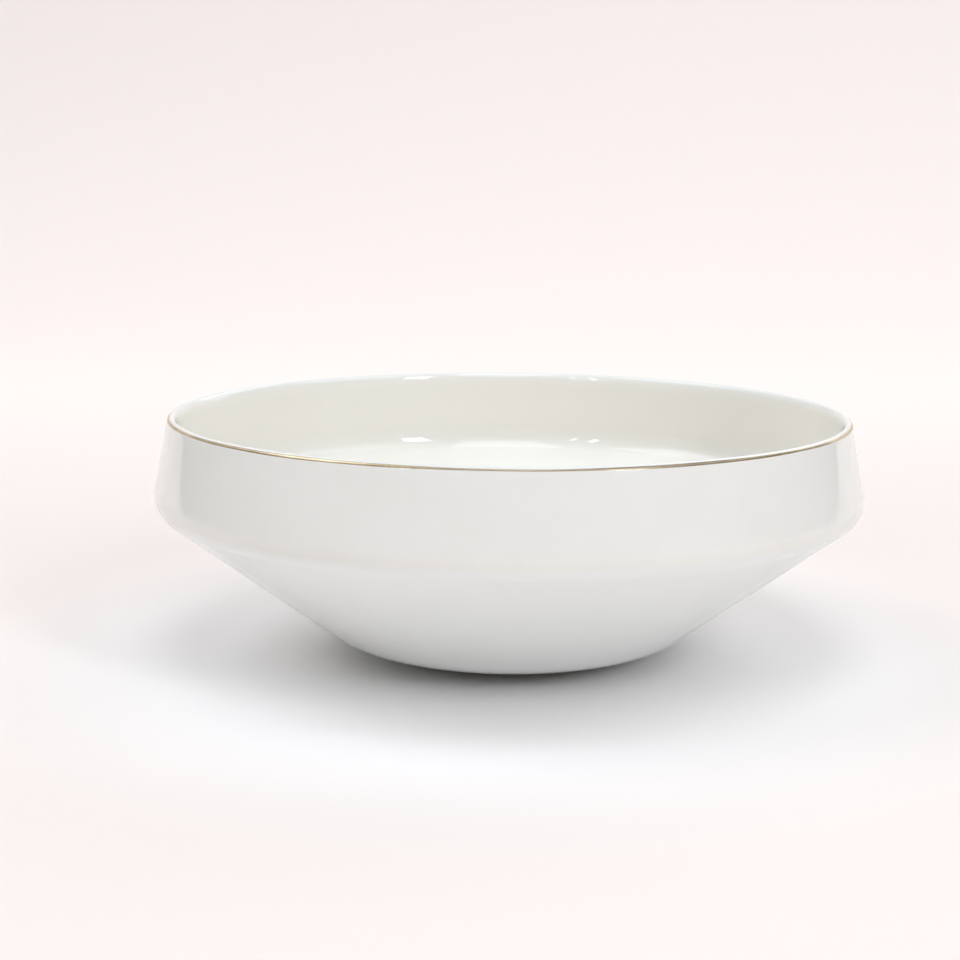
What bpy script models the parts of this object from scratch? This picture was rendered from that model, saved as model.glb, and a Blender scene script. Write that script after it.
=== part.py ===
"""Porcelain serving bowl with a gold line on its lip, standing on a dry foot ring.

Metres, +Z up. The origin is the centre of the plane that the bowl stands on, so the bowl's
axis of revolution is the Z axis. Every sub-part is a turned profile: a list of (radius, height)
points that is swept once round the axis.
"""
import math

import bpy
from mathutils import Vector

# Driving dimensions
HEIGHT = 0.090
RIM_RADIUS = 0.125              # outer edge of the lip
LIP_ROUND = 0.0019              # the lip's outer half is rounded with this radius
LIP_INNER_WIDTH = 0.0017        # its inner half is an oval this wide
LIP_INNER_RUN = 0.0036          # and this high
SHOULDER = (0.1311, 0.0580)     # where the upright wall and the cone would meet
SHOULDER_FILLET = 0.009
BELLY = (0.0640, 0.0072)        # where the cone and the underside would meet
BELLY_FILLET = 0.030
INNER_SHOULDER = (0.1264, 0.0602)
INNER_SHOULDER_FILLET = 0.009
INNER_FLOOR = (0.0572, 0.0078)  # where the inner cone and the flat floor would meet
INNER_FLOOR_FILLET = 0.060

# Foot ring
FOOT_OUTER = 0.0395
FOOT_INNER = 0.0335
FOOT_EDGE_ROUND = 0.0012        # on the two edges that meet the table
FOOT_SHOWS = 0.0017             # how far the ring stands out below the belly
FOOT_SEAT = 0.0034              # height of the recessed underside that the ring is luted to

# Gold line: the stretch of the lip's outer round that it covers, in degrees above the horizontal
GOLD_LOW = 21.5
GOLD_HIGH = 56.0
GOLD_THICKNESS = 0.0003

GAP = 0.0003                    # between neighbouring solids
SEGMENTS = 72                   # facets round the axis
FLATNESS = 0.00003              # how far a facet may cut inside the arc it stands for


def start_empty():
    """Remove whatever the file holds."""
    for old in list(bpy.data.objects):
        bpy.data.objects.remove(old, do_unlink=True)


def oval(centre, across, up, start, end):
    """Points on an oval with half-axes across and up, from start to end.

    Both ends are in degrees above the outward radial direction.
    """
    widest_step = math.degrees(2 * math.acos(1 - FLATNESS / max(across, up)))
    steps = math.ceil(abs(end - start) / widest_step)
    points = []
    for i in range(steps + 1):
        angle = math.radians(start + (end - start) * i / steps)
        points.append((centre[0] + across * math.cos(angle), centre[1] + up * math.sin(angle)))
    return points


def arc(centre, radius, start, end):
    """Points on a round arc, with its ends as in oval()."""
    return oval(centre, radius, radius, start, end)


def fillet(before, corner, after, radius):
    """Arc of the given radius that rounds a corner between two straight runs."""
    corner = Vector(corner)
    back = (Vector(before) - corner).normalized()
    ahead = (Vector(after) - corner).normalized()
    half = back.angle(ahead) / 2
    centre = corner + (back + ahead).normalized() * (radius / math.sin(half))
    reach = radius / math.tan(half)
    first = corner + back * reach - centre
    last = corner + ahead * reach - centre
    start = math.degrees(math.atan2(first.y, first.x))
    sweep = math.degrees(math.atan2(last.y, last.x)) - start
    sweep = (sweep + 180) % 360 - 180
    return arc(centre, radius, start, start + sweep)


def tangent_angle(centre, across, up, target, side):
    """Where a straight run from target touches an oval: outside for side 1, inside for side -1."""
    away = Vector(((target[0] - centre[0]) / across, (target[1] - centre[1]) / up))
    angle = math.atan2(away.y, away.x) + side * math.acos(1 / away.length)
    return math.degrees(angle) % 360


def material(name, colour, roughness, metallic=0.0):
    """A plain Principled material."""
    made = bpy.data.materials.new(name)
    made.use_nodes = True
    made.diffuse_color = (*colour, 1.0)
    shader = made.node_tree.nodes["Principled BSDF"]
    shader.inputs["Base Color"].default_value = (*colour, 1.0)
    shader.inputs["Roughness"].default_value = roughness
    shader.inputs["Metallic"].default_value = metallic
    return made


def turned(name, profile, closed, finish):
    """Sweep a profile once round the Z axis.

    The profile runs down its outer side. An open one starts and ends on the axis.
    """
    edges = [(i, i + 1) for i in range(len(profile) - 1)]
    if closed:
        edges.append((len(profile) - 1, 0))
    mesh = bpy.data.meshes.new(name)
    mesh.from_pydata([(radius, 0.0, height) for radius, height in profile], edges, [])
    obj = bpy.data.objects.new(name, mesh)
    bpy.context.scene.collection.objects.link(obj)
    screw = obj.modifiers.new("Turn", "SCREW")
    screw.axis = "Z"
    screw.angle = math.tau
    screw.steps = SEGMENTS
    screw.render_steps = SEGMENTS
    screw.use_merge_vertices = True
    screw.merge_threshold = 0.00001
    screw.use_smooth_shade = True
    mesh.materials.append(finish)
    return obj


LIP_CENTRE = (RIM_RADIUS - LIP_ROUND, HEIGHT - LIP_ROUND)


def inner_lip():
    """The lip's inner half, from the straight inner wall up to the top of the lip."""
    centre = (LIP_CENTRE[0], HEIGHT - LIP_INNER_RUN)
    start = tangent_angle(centre, LIP_INNER_WIDTH, LIP_INNER_RUN, INNER_SHOULDER, -1)
    return oval(centre, LIP_INNER_WIDTH, LIP_INNER_RUN, start, 90)


def bowl_body():
    """Lip, wall, shoulder, cone, belly and floor, with a rebate for the gold and a seat below."""
    clearance = math.degrees(GAP / LIP_ROUND)
    rebate_top = GOLD_HIGH + clearance
    rebate_foot = GOLD_LOW - clearance
    rebate_round = LIP_ROUND - GOLD_THICKNESS - GAP
    lip_outside = tangent_angle(LIP_CENTRE, LIP_ROUND, LIP_ROUND, SHOULDER, 1)
    seat_radius = FOOT_OUTER + GAP
    belly_end = (seat_radius, FOOT_SHOWS)

    lip = inner_lip()
    profile = [(0.0, INNER_FLOOR[1])]
    profile += fillet(profile[0], INNER_FLOOR, INNER_SHOULDER, INNER_FLOOR_FILLET)
    profile += fillet(INNER_FLOOR, INNER_SHOULDER, lip[0], INNER_SHOULDER_FILLET)
    profile += lip
    profile += arc(LIP_CENTRE, rebate_round, rebate_top, rebate_foot)
    profile += arc(LIP_CENTRE, LIP_ROUND, rebate_foot, lip_outside)
    profile += fillet(profile[-1], SHOULDER, BELLY, SHOULDER_FILLET)
    profile += fillet(SHOULDER, BELLY, belly_end, BELLY_FILLET)
    profile += [belly_end, (seat_radius, FOOT_SEAT), (0.0, FOOT_SEAT)]
    return turned("bowl_body", profile, False, material("white_glaze", (0.86, 0.86, 0.84), 0.12))


def gold_rim_line():
    """The gold line, which fills the lip's rebate out to the lip's own round."""
    profile = arc(LIP_CENTRE, LIP_ROUND, GOLD_HIGH, GOLD_LOW)
    profile += arc(LIP_CENTRE, LIP_ROUND - GOLD_THICKNESS, GOLD_LOW, GOLD_HIGH)
    return turned("gold_rim_line", profile, True, material("fired_gold", (0.72, 0.53, 0.26), 0.25, 1.0))


def foot_ring():
    """The dry ring: flat where it stands, both standing edges rounded, flat where it is luted."""
    top = FOOT_SEAT - GAP
    outer_round = (FOOT_OUTER - FOOT_EDGE_ROUND, FOOT_EDGE_ROUND)
    inner_round = (FOOT_INNER + FOOT_EDGE_ROUND, FOOT_EDGE_ROUND)
    profile = [(FOOT_OUTER, top)]
    profile += arc(outer_round, FOOT_EDGE_ROUND, 0, -90)
    profile += arc(inner_round, FOOT_EDGE_ROUND, -90, -180)
    profile += [(FOOT_INNER, top)]
    return turned("foot_ring", profile, True, material("dry_bisque", (0.80, 0.77, 0.71), 0.85))


start_empty()
bowl_body()
foot_ring()
gold_rim_line()
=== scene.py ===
"""Looks of the porcelain serving bowl: glazed body, dry foot ring and fired gold line.

Metres, in the CAD frame: +Z up, the bowl's axis on Z, the standing plane at Z = 0. Each visible
piece is a fine turned surface that follows its CAD solid's profile and replaces that solid.
"""
import math

import bmesh
import bpy
from mathutils import Euler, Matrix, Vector

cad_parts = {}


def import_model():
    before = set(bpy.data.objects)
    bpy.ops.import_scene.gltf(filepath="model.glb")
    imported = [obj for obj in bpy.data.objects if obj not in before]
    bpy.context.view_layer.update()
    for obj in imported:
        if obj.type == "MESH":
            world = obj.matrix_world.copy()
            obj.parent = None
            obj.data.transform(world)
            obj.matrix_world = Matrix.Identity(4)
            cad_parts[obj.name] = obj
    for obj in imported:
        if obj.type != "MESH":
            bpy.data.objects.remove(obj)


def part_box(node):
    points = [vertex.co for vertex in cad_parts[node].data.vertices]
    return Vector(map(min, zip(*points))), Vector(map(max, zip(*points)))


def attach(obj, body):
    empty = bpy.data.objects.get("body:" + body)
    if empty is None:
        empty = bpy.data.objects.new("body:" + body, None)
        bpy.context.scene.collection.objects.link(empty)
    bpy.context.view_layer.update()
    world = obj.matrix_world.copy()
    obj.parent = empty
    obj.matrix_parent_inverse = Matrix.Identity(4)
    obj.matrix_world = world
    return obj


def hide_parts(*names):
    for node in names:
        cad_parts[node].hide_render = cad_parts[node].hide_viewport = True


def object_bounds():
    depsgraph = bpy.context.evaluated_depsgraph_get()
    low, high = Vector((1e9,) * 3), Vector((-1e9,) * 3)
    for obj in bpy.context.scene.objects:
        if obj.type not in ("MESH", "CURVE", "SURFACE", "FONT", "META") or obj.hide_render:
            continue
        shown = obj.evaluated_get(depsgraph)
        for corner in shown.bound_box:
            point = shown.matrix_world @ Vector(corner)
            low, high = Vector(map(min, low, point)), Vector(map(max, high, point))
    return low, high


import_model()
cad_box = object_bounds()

# Sizes read from the frame
HEIGHT = cad_box[1].z
FOOT_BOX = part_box("foot_ring")
WIDEST = cad_box[1].x - 0.00001

# The turned profile: the same driving sizes as the CAD solids
RIM_RADIUS = 0.125
LIP_ROUND = 0.0019
LIP_INNER_WIDTH = 0.0017
LIP_INNER_RUN = 0.0036
SHOULDER = (0.1311, 0.0580)
SHOULDER_FILLET = 0.009
BELLY = (0.0640, 0.0072)
BELLY_FILLET = 0.030
INNER_SHOULDER = (0.1264, 0.0602)
INNER_SHOULDER_FILLET = 0.009
INNER_FLOOR = (0.0572, 0.0078)
INNER_FLOOR_FILLET = 0.060
FOOT_OUTER = FOOT_BOX[1].x
FOOT_INNER = 0.0335
FOOT_EDGE_ROUND = 0.0012
FOOT_SHOWS = 0.0017
FOOT_SEAT = 0.0034
FOOT_SLACK = 0.00005            # keeps the ring's hidden top edge clear of the body
LIP_CENTRE = (RIM_RADIUS - LIP_ROUND, HEIGHT - LIP_ROUND)

# Gold film on the lip's outer round: its painted edges, in degrees above the horizontal
GOLD_LOW = 21.5
GOLD_HIGH = 56.0
GOLD_FILM = 0.00003             # how far it stands out
GOLD_ROOT = 0.00010             # how far its hidden back lies inside the lip
GOLD_THIN = (2.0, 12.0)         # degrees lost near the front, from below and from above
GOLD_NARROW_AT = 5.0            # where it is narrowest, in degrees from the front towards +X
GOLD_NARROW_FADE = 30           # a higher power makes the narrow stretch shorter
GOLD_DARK_REFLECTION_AT = 11.0             # where the gold carries most painted dark reflection, in degrees from the front towards +X
GOLD_DARK_REFLECTION_FROM = 0.108          # how far out that way the painted dark reflection begins
GOLD_DARK_REFLECTION_FULL = 0.1205         # and is complete
OVER_POINTS = 8                 # points across the film's face
UNDER_POINTS = 4                # and across its back

# Fineness of the visible surfaces
SEGMENTS = 288
ARC_STEP = 4.0                  # degrees of profile arc per facet
RUN_STEP = 0.003                # length of a facet on a straight run

# Camera
LENS = 70.1
CAMERA_DISTANCE = 0.700
CAMERA_ELEVATION = 11.5
CAMERA_ROLL = 0.55
AIM = Vector((0.0, 0.0, HEIGHT / 2))
SHIFT = (-0.0303, 0.0530)

# Light and room
DAYLIGHT = (0.950, 1.020, 1.112)
FILL = (0.97, 0.98, 1.0, 1.0)
FILL_STRENGTH = 0.187
ROOM = (0.94, 0.875, 0.845, 1.0)

# Where the glaze changes, and where painted light and shade lie on it
LIP_FADE = (HEIGHT - 0.0025, HEIGHT - 0.0003)   # heights over which it thins towards the rim
PAINTED_LIGHT_CONE_FADE = (0.045, 0.012)                      # heights over which downward faces get whiter down the cone: painted light
FOOT_PAINTED_SHADE_FADE = (0.0032, 0.0014)                   # heights over which the glaze darkens towards the foot's edge: painted contact shade
PAINTED_LIGHT_DOWNWARD_FADE = (-0.15, -0.55)                  # from facing just below level to well below; these faces are painted cooler and lighter, as painted light
INWARD_FADE = (0.04, 0.0)                       # from facing away from the axis to not

# Colours of the materials
GLAZE_DEEP = (0.908, 0.888, 0.828)
GLAZE_PALE = (0.924, 0.904, 0.846)
GLAZE_INSIDE = (0.934, 0.876, 0.775)
GLAZE_LIP = (0.922, 0.908, 0.860)
# painted light: downward faces cooler, and the cone whiter towards the foot
GLAZE_DOWNWARD_PAINTED_LIGHT = (0.910, 0.918, 0.892)
GLAZE_UNDERSIDE_PAINTED_LIGHT = (0.962, 0.958, 0.936)
# painted contact shade on the glaze just above the foot
FOOT_PAINTED_SHADE = (0.70, 0.665, 0.60)
SPECK = (0.42, 0.38, 0.32)
GOLD_DARK = (0.46, 0.36, 0.23)
GOLD_MIDDLE = (0.62, 0.49, 0.31)
GOLD_BRIGHT = (0.78, 0.65, 0.44)
# painted dark reflection on the gold near the front
GOLD_PAINTED_REFLECTION = (0.25, 0.19, 0.13)
BISQUE_MARKED = (0.62, 0.58, 0.52)
BISQUE_CLEAN = (0.80, 0.77, 0.72)
PAPER_UNDER_BOWL = (0.975, 0.955, 0.935)
PAPER_BLUSH = (0.975, 0.864, 0.790)


# ---------------------------------------------------------------- profiles

def oval(centre, across, up, start, end):
    """Points on an oval from start to end, in degrees above the outward radial direction."""
    steps = math.ceil(abs(end - start) / ARC_STEP)
    points = []
    for i in range(steps + 1):
        angle = math.radians(start + (end - start) * i / steps)
        points.append((centre[0] + across * math.cos(angle), centre[1] + up * math.sin(angle)))
    return points


def fillet(before, corner, after, radius):
    """Arc of the given radius that rounds a corner between two straight runs."""
    corner = Vector(corner)
    back = (Vector(before) - corner).normalized()
    ahead = (Vector(after) - corner).normalized()
    half = back.angle(ahead) / 2
    centre = corner + (back + ahead).normalized() * (radius / math.sin(half))
    reach = radius / math.tan(half)
    first = corner + back * reach - centre
    last = corner + ahead * reach - centre
    start = math.degrees(math.atan2(first.y, first.x))
    sweep = math.degrees(math.atan2(last.y, last.x)) - start
    sweep = (sweep + 180) % 360 - 180
    return oval(centre, radius, radius, start, start + sweep)


def tangent_angle(centre, across, up, target, side):
    """Where a straight run from target touches an oval: outside for side 1, inside for side -1."""
    away = Vector(((target[0] - centre[0]) / across, (target[1] - centre[1]) / up))
    angle = math.atan2(away.y, away.x) + side * math.acos(1 / away.length)
    return math.degrees(angle) % 360


def filled_in(profile):
    """The profile with its long straight runs divided into facets of about RUN_STEP."""
    points = [profile[0]]
    for target in profile[1:]:
        start = Vector(points[-1])
        run = Vector(target) - start
        steps = max(1, round(run.length / RUN_STEP))
        points += [tuple(start + run * (i / steps)) for i in range(1, steps + 1)]
    return points


def body_profile():
    """From the middle of the floor up the inside, over the lip and down the outside."""
    inner_centre = (LIP_CENTRE[0], HEIGHT - LIP_INNER_RUN)
    inner_start = tangent_angle(inner_centre, LIP_INNER_WIDTH, LIP_INNER_RUN, INNER_SHOULDER, -1)
    outer_end = tangent_angle(LIP_CENTRE, LIP_ROUND, LIP_ROUND, SHOULDER, 1)
    lip = oval(inner_centre, LIP_INNER_WIDTH, LIP_INNER_RUN, inner_start, 90)
    lip += oval(LIP_CENTRE, LIP_ROUND, LIP_ROUND, 90, outer_end)[1:]
    belly_end = (FOOT_OUTER, FOOT_SHOWS)
    profile = [(0.0, INNER_FLOOR[1])]
    profile += fillet(profile[0], INNER_FLOOR, INNER_SHOULDER, INNER_FLOOR_FILLET)
    profile += fillet(INNER_FLOOR, INNER_SHOULDER, lip[0], INNER_SHOULDER_FILLET)
    profile += lip
    profile += fillet(lip[-1], SHOULDER, BELLY, SHOULDER_FILLET)
    profile += fillet(SHOULDER, BELLY, belly_end, BELLY_FILLET)
    profile += [belly_end, (FOOT_OUTER, FOOT_SEAT), (0.0, FOOT_SEAT)]
    return filled_in(profile)


def foot_profile():
    """The dry ring's section, clockwise from its outer top edge."""
    outer = (FOOT_OUTER - FOOT_EDGE_ROUND, FOOT_EDGE_ROUND)
    inner = (FOOT_INNER + FOOT_EDGE_ROUND, FOOT_EDGE_ROUND)
    profile = [(FOOT_OUTER - FOOT_SLACK, FOOT_SEAT - FOOT_SLACK)]
    profile += oval(outer, FOOT_EDGE_ROUND, FOOT_EDGE_ROUND, 0, -90)
    profile += oval(inner, FOOT_EDGE_ROUND, FOOT_EDGE_ROUND, -90, -180)
    profile += [(FOOT_INNER, FOOT_SEAT - FOOT_SLACK)]
    return profile


# ---------------------------------------------------------------- meshes

def ring_surface(name, rings, closed):
    """A surface through rings of points; each ring is one profile point at every segment."""
    mesh = bmesh.new()
    rows = []
    for ring in rings:
        if len(ring) == 1:
            rows.append([mesh.verts.new(ring[0])] * SEGMENTS)
        else:
            rows.append([mesh.verts.new(point) for point in ring])
    pairs = list(zip(rows, rows[1:]))
    if closed:
        pairs.append((rows[-1], rows[0]))
    for upper, lower in pairs:
        for i in range(SEGMENTS):
            j = (i + 1) % SEGMENTS
            corners = [upper[i], lower[i], lower[j], upper[j]]
            mesh.faces.new(list(dict.fromkeys(corners)))
    bmesh.ops.recalc_face_normals(mesh, faces=mesh.faces)
    data = bpy.data.meshes.new(name)
    mesh.to_mesh(data)
    mesh.free()
    data.shade_smooth()
    piece = bpy.data.objects.new(name, data)
    bpy.context.scene.collection.objects.link(piece)
    return piece


def turned(name, profile, closed):
    """A profile swept round the Z axis; points on the axis become one vertex."""
    rings = []
    for radius, height in profile:
        if radius < 1e-6:
            rings.append([(0.0, 0.0, height)])
            continue
        radius = min(radius, WIDEST)
        ring = []
        for i in range(SEGMENTS):
            turn = math.tau * i / SEGMENTS
            ring.append((radius * math.cos(turn), radius * math.sin(turn), height))
        rings.append(ring)
    return ring_surface(name, rings, closed)


def gold_line():
    """A thin film on the lip's outer round.

    Each painted edge wanders by a long and a short wave, in degrees round the lip's section.
    """
    rings = [[] for _ in range(OVER_POINTS + UNDER_POINTS)]
    for i in range(SEGMENTS):
        turn = math.tau * i / SEGMENTS
        low = GOLD_LOW + 1.6 * math.sin(7 * turn + 0.4) + 1.1 * math.sin(19 * turn + 2.0)
        high = GOLD_HIGH + 1.5 * math.sin(5 * turn + 1.7) + 1.2 * math.sin(23 * turn + 0.3)
        front = max(0.0, math.sin(math.radians(GOLD_NARROW_AT) - turn)) ** GOLD_NARROW_FADE
        low += GOLD_THIN[0] * front
        high -= GOLD_THIN[1] * front
        for k, ring in enumerate(rings):
            if k < OVER_POINTS:
                share = k / (OVER_POINTS - 1)
                reach = LIP_ROUND + GOLD_FILM * (1 - (2 * share - 1) ** 4)
            else:
                share = (len(rings) - 1 - k) / (UNDER_POINTS - 1)
                reach = LIP_ROUND - GOLD_ROOT
            angle = math.radians(high + (low - high) * share)
            radius = LIP_CENTRE[0] + reach * math.cos(angle)
            height = LIP_CENTRE[1] + reach * math.sin(angle)
            ring.append((radius * math.cos(turn), radius * math.sin(turn), height))
    return ring_surface("gold_line", rings, True)


# ---------------------------------------------------------------- materials

def new_material(name):
    """A node material, with its nodes and links."""
    made = bpy.data.materials.new(name)
    made.use_nodes = True
    return made, made.node_tree.nodes, made.node_tree.links


def noise(nodes, links, scale, detail=3.0, roughness=0.5):
    """Noise over the object's own coordinates."""
    place = nodes.new("ShaderNodeTexCoord")
    texture = nodes.new("ShaderNodeTexNoise")
    texture.inputs["Scale"].default_value = scale
    texture.inputs["Detail"].default_value = detail
    texture.inputs["Roughness"].default_value = roughness
    links.new(place.outputs["Object"], texture.inputs["Vector"])
    return texture.outputs["Fac"]


def ramp(nodes, links, value, stops):
    """A colour ramp over value; stops are (position, colour)."""
    node = nodes.new("ShaderNodeValToRGB")
    while len(node.color_ramp.elements) < len(stops):
        node.color_ramp.elements.new(0.5)
    for element, (position, colour) in zip(node.color_ramp.elements, stops):
        element.position = position
        element.color = (*colour, 1.0)
    links.new(value, node.inputs["Fac"])
    return node.outputs["Color"]


def span(nodes, links, value, low, high):
    """Value from 0 to 1 mapped to low to high."""
    node = nodes.new("ShaderNodeMapRange")
    node.inputs["To Min"].default_value = low
    node.inputs["To Max"].default_value = high
    links.new(value, node.inputs["Value"])
    return node.outputs["Result"]


def bump(nodes, links, value, depth, under=None):
    """A bump of the given depth in metres, over another bump's normal if one is given."""
    node = nodes.new("ShaderNodeBump")
    node.inputs["Strength"].default_value = 1.0
    node.inputs["Distance"].default_value = depth
    links.new(value, node.inputs["Height"])
    if under:
        links.new(under, node.inputs["Normal"])
    return node.outputs["Normal"]


def mask(nodes, links, value, start, end):
    """0 where value is at start and 1 where it is at end, with a soft change between."""
    node = nodes.new("ShaderNodeMapRange")
    node.interpolation_type = "SMOOTHSTEP"
    node.inputs["From Min"].default_value = start
    node.inputs["From Max"].default_value = end
    links.new(value, node.inputs["Value"])
    return node.outputs["Result"]


def vertical(nodes, links, source):
    """The Z part of "Object", the point's own place, or of "Normal", the way it faces."""
    place = nodes.new("ShaderNodeTexCoord")
    parts = nodes.new("ShaderNodeSeparateXYZ")
    links.new(place.outputs[source], parts.inputs["Vector"])
    return parts.outputs["Z"]


def from_axis(nodes, links):
    """The level vector from the bowl's axis to the point."""
    place = nodes.new("ShaderNodeTexCoord")
    level = nodes.new("ShaderNodeVectorMath")
    level.operation = "MULTIPLY"
    level.inputs[1].default_value = (1.0, 1.0, 0.0)
    links.new(place.outputs["Object"], level.inputs[0])
    return level.outputs["Vector"]


def distance_from_axis(nodes, links):
    """How far the point is from the bowl's axis."""
    node = nodes.new("ShaderNodeVectorMath")
    node.operation = "LENGTH"
    links.new(from_axis(nodes, links), node.inputs[0])
    return node.outputs["Value"]


def facing_outward(nodes, links):
    """Positive where the surface faces away from the bowl's axis, negative where it faces it."""
    place = nodes.new("ShaderNodeTexCoord")
    node = nodes.new("ShaderNodeVectorMath")
    node.operation = "DOT_PRODUCT"
    links.new(place.outputs["Normal"], node.inputs[0])
    links.new(from_axis(nodes, links), node.inputs[1])
    return node.outputs["Value"]


def tinted(nodes, links, under, amount, colour):
    """Under, mixed towards a colour by amount."""
    node = nodes.new("ShaderNodeMix")
    node.data_type = "RGBA"
    sockets = {socket.identifier: socket for socket in [*node.inputs, *node.outputs]}
    sockets["B_Color"].default_value = (*colour, 1.0)
    links.new(amount, sockets["Factor_Float"])
    links.new(under, sockets["A_Color"])
    return sockets["Result_Color"]


def product(nodes, links, first, second):
    """First times second; second may be a number."""
    node = nodes.new("ShaderNodeMath")
    node.operation = "MULTIPLY"
    links.new(first, node.inputs[0])
    if isinstance(second, float):
        node.inputs[1].default_value = second
    else:
        links.new(second, node.inputs[1])
    return node.outputs["Value"]


def specks(nodes, links):
    """Rare pinpoint specks in the glaze: 1 inside a speck, 0 elsewhere."""
    place = nodes.new("ShaderNodeTexCoord")
    cells = nodes.new("ShaderNodeTexVoronoi")
    cells.inputs["Scale"].default_value = 110.0
    links.new(place.outputs["Object"], cells.inputs["Vector"])
    dot = mask(nodes, links, cells.outputs["Distance"], 0.035, 0.015)
    parts = nodes.new("ShaderNodeSeparateColor")
    links.new(cells.outputs["Color"], parts.inputs["Color"])
    chosen = mask(nodes, links, parts.outputs["Red"], 0.93, 0.95)
    return product(nodes, links, dot, chosen)


def glaze():
    """Glossy glaze on porcelain: mottled, ivory inside, whiter on the lip; painted light makes
    downward faces cooler and whiter towards the foot, and painted shade darkens the glaze just above
    the foot.
    """
    made, nodes, links = new_material("glaze")
    shader = nodes["Principled BSDF"]
    height = vertical(nodes, links, "Object")
    mottle = noise(nodes, links, 55.0, 4.0, 0.55)
    colour = ramp(nodes, links, mottle, [(0.35, GLAZE_DEEP), (0.65, GLAZE_PALE)])
    inside = mask(nodes, links, facing_outward(nodes, links), *INWARD_FADE)
    colour = tinted(nodes, links, colour, product(nodes, links, inside, 0.5), GLAZE_INSIDE)
    thin = mask(nodes, links, height, *LIP_FADE)
    colour = tinted(nodes, links, colour, product(nodes, links, thin, 0.7), GLAZE_LIP)
    # painted light: faces turned downward are made cooler and lighter
    painted_light_below = mask(nodes, links, vertical(nodes, links, "Normal"), *PAINTED_LIGHT_DOWNWARD_FADE)
    colour = tinted(nodes, links, colour, painted_light_below, GLAZE_DOWNWARD_PAINTED_LIGHT)
    # painted light: the downward faces are made whiter low on the cone
    low = product(nodes, links, painted_light_below, mask(nodes, links, height, *PAINTED_LIGHT_CONE_FADE))
    colour = tinted(nodes, links, colour, low, GLAZE_UNDERSIDE_PAINTED_LIGHT)
    # painted contact shade: the glaze just above the foot is made darker and browner
    painted_shade_near_foot = mask(nodes, links, height, *FOOT_PAINTED_SHADE_FADE)
    colour = tinted(nodes, links, colour, product(nodes, links, painted_shade_near_foot, 0.6), FOOT_PAINTED_SHADE)
    colour = tinted(nodes, links, colour, product(nodes, links, specks(nodes, links), 0.5), SPECK)
    links.new(colour, shader.inputs["Base Color"])
    sheen = noise(nodes, links, 90.0, 2.0)
    links.new(span(nodes, links, sheen, 0.02, 0.055), shader.inputs["Roughness"])
    waves = bump(nodes, links, noise(nodes, links, 45.0, 1.0), 0.00002)
    peel = bump(nodes, links, noise(nodes, links, 420.0, 2.0), 0.000003, waves)
    links.new(peel, shader.inputs["Normal"])
    shader.inputs["IOR"].default_value = 1.52
    return made


def gold():
    """Fired gold: metallic, uneven in tone and gloss, with a painted dark reflection, brown in
    patches, near the front.
    """
    made, nodes, links = new_material("gold")
    shader = nodes["Principled BSDF"]
    tone = noise(nodes, links, 70.0, 5.0, 0.6)
    colour = ramp(nodes, links, tone, [(0.32, GOLD_DARK), (0.50, GOLD_MIDDLE), (0.68, GOLD_BRIGHT)])
    place = nodes.new("ShaderNodeTexCoord")
    along = nodes.new("ShaderNodeVectorMath")
    along.operation = "DOT_PRODUCT"
    side = math.radians(GOLD_DARK_REFLECTION_AT)
    along.inputs[1].default_value = (math.sin(side), -math.cos(side), 0.0)
    links.new(place.outputs["Object"], along.inputs[0])
    # painted dark reflection: the gold near the front is made dark brown in uneven patches
    front = mask(nodes, links, along.outputs["Value"], GOLD_DARK_REFLECTION_FROM, GOLD_DARK_REFLECTION_FULL)
    dark_reflection_patches = span(nodes, links, noise(nodes, links, 40.0, 3.0), 0.45, 0.95)
    colour = tinted(nodes, links, colour, product(nodes, links, front, dark_reflection_patches), GOLD_PAINTED_REFLECTION)
    links.new(colour, shader.inputs["Base Color"])
    shader.inputs["Metallic"].default_value = 1.0
    dull = span(nodes, links, noise(nodes, links, 260.0, 3.0), 0.24, 0.40)
    links.new(dull, shader.inputs["Roughness"])
    links.new(bump(nodes, links, noise(nodes, links, 900.0, 3.0), 0.00001), shader.inputs["Normal"])
    return made


def bisque():
    """Unglazed porcelain: matt, with a fine grain and grey-brown handling marks."""
    made, nodes, links = new_material("bisque")
    shader = nodes["Principled BSDF"]
    marks = noise(nodes, links, 160.0, 6.0, 0.6)
    colour = ramp(nodes, links, marks, [(0.30, BISQUE_MARKED), (0.62, BISQUE_CLEAN)])
    links.new(colour, shader.inputs["Base Color"])
    links.new(span(nodes, links, marks, 0.95, 0.75), shader.inputs["Roughness"])
    grain = bump(nodes, links, noise(nodes, links, 2500.0, 4.0), 0.00004)
    links.new(grain, shader.inputs["Normal"])
    return made


def paper():
    """The sweep's matt paper: a pale blush, near white under the bowl."""
    made, nodes, links = new_material("paper")
    shader = nodes["Principled BSDF"]
    outward = mask(nodes, links, distance_from_axis(nodes, links), 0.08, 0.24)
    tint = ramp(nodes, links, outward, [(0.0, PAPER_UNDER_BOWL), (1.0, PAPER_BLUSH)])
    fibre = noise(nodes, links, 900.0, 5.0)
    links.new(tint, shader.inputs["Base Color"])
    links.new(span(nodes, links, fibre, 0.85, 0.95), shader.inputs["Roughness"])
    shader.inputs["Specular IOR Level"].default_value = 0.1
    return made


# ---------------------------------------------------------------- pieces

def finished(piece, node, material):
    """Give a piece its material and its place in the frame."""
    piece.data.materials.append(material)
    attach(piece, "root")
    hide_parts(node)


finished(turned("glazed_bowl", body_profile(), False), "bowl_body", glaze())
finished(turned("dry_foot", foot_profile(), True), "foot_ring", bisque())
finished(gold_line(), "gold_rim_line", gold())


# ---------------------------------------------------------------- stage

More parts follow.
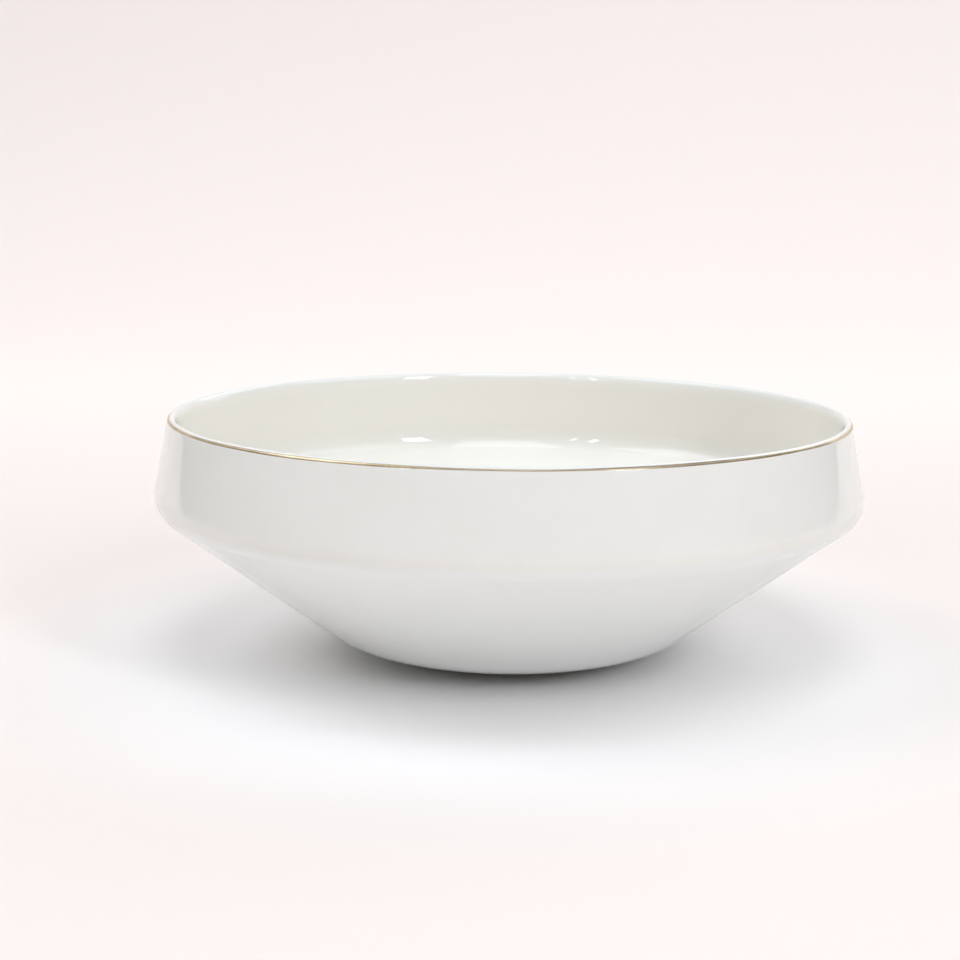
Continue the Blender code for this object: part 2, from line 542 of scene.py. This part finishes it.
def sweep():
    """Floor and backdrop in one sheet: level under the bowl, curved up into a wall behind."""
    half_width = 1.6
    front, back, bend, top = -1.9, 2.2, 1.2, 3.0
    path = [(front, 0.0), (back - bend, 0.0)]
    for degrees in range(6, 91, 6):
        angle = math.radians(degrees)
        path += [(back - bend + bend * math.sin(angle), bend - bend * math.cos(angle))]
    path += [(back, top)]
    mesh = bmesh.new()
    left = [mesh.verts.new((-half_width, y, z)) for y, z in path]
    right = [mesh.verts.new((half_width, y, z)) for y, z in path]
    for i in range(len(path) - 1):
        mesh.faces.new([left[i], right[i], right[i + 1], left[i + 1]])
    data = bpy.data.meshes.new("sweep")
    mesh.to_mesh(data)
    mesh.free()
    data.shade_smooth()
    sheet = bpy.data.objects.new("sweep", data)
    bpy.context.scene.collection.objects.link(sheet)
    sheet.data.materials.append(paper())


def panel(name, azimuth, elevation, distance, width, height, power, colour=DAYLIGHT, aim=AIM):
    """A soft panel facing its aim. Azimuth 0 is on the camera's side of it, positive towards +X."""
    turn, rise = math.radians(azimuth), math.radians(elevation)
    away = Vector((math.sin(turn) * math.cos(rise), -math.cos(turn) * math.cos(rise), math.sin(rise)))
    data = bpy.data.lights.new(name, "AREA")
    data.shape = "RECTANGLE"
    data.size = width
    data.size_y = height
    data.energy = power
    data.color = colour
    lamp = bpy.data.objects.new(name, data)
    lamp.location = aim + away * distance
    lamp.rotation_euler = away.to_track_quat("Z", "Y").to_euler()
    lamp.visible_camera = False
    bpy.context.scene.collection.objects.link(lamp)


def world():
    """Dim even light from all round; past the sheet's edges the room shows as a pale blush."""
    made = bpy.data.worlds.new("studio")
    made.use_nodes = True
    nodes, links = made.node_tree.nodes, made.node_tree.links
    fill = nodes["Background"]
    fill.inputs["Color"].default_value = FILL
    fill.inputs["Strength"].default_value = FILL_STRENGTH
    room = nodes.new("ShaderNodeBackground")
    room.inputs["Color"].default_value = ROOM
    path = nodes.new("ShaderNodeLightPath")
    either = nodes.new("ShaderNodeMixShader")
    links.new(path.outputs["Is Camera Ray"], either.inputs[0])
    links.new(fill.outputs[0], either.inputs[1])
    links.new(room.outputs[0], either.inputs[2])
    links.new(either.outputs[0], nodes["World Output"].inputs["Surface"])
    bpy.context.scene.world = made


def camera():
    """Camera on the -Y side, above the bowl's middle height and rolled a little."""
    data = bpy.data.cameras.new("camera")
    data.lens = LENS
    data.sensor_width = 36.0
    data.shift_x, data.shift_y = SHIFT
    data.clip_start = 0.05
    rise = math.radians(CAMERA_ELEVATION)
    away = Vector((0.0, -math.cos(rise), math.sin(rise)))
    made = bpy.data.objects.new("camera", data)
    made.location = AIM + away * CAMERA_DISTANCE
    level = away.to_track_quat("Z", "Y")
    roll = Euler((0.0, 0.0, math.radians(CAMERA_ROLL))).to_quaternion()
    made.rotation_euler = (level @ roll).to_euler()
    bpy.context.scene.collection.objects.link(made)
    bpy.context.scene.camera = made


sweep()
world()
panel("window_right", 38.6, 30.0, 2.5, 0.37, 0.9, 13.9)
panel("window_left_near", -25.7, 30.0, 2.5, 0.06, 0.9, 1.5)
panel("window_left_far", -34.2, 30.0, 2.5, 0.11, 0.9, 2.6)
panel("overhead", 4.5, 66.0, 2.0, 0.85, 1.6, 10.4)
panel("top", 0.0, 88.0, 2.0, 1.4, 1.4, 4.1)
panel("high_left", -90.0, 52.0, 2.3, 1.4, 1.2, 12.6)
panel("high_right", 78.0, 52.0, 2.3, 1.4, 1.2, 7.0)
panel("back_left", -139.0, 25.0, 2.5, 2.5, 2.0, 9.4)
panel("back_right", 147.0, 25.0, 2.5, 1.77, 2.0, 15.1)
panel("backdrop", 0.0, 24.8, 1.43, 2.4, 0.5, 4.5, DAYLIGHT, Vector((0.0, 1.9, 0.3)))
camera()
bpy.context.scene.view_settings.view_transform = "Standard"
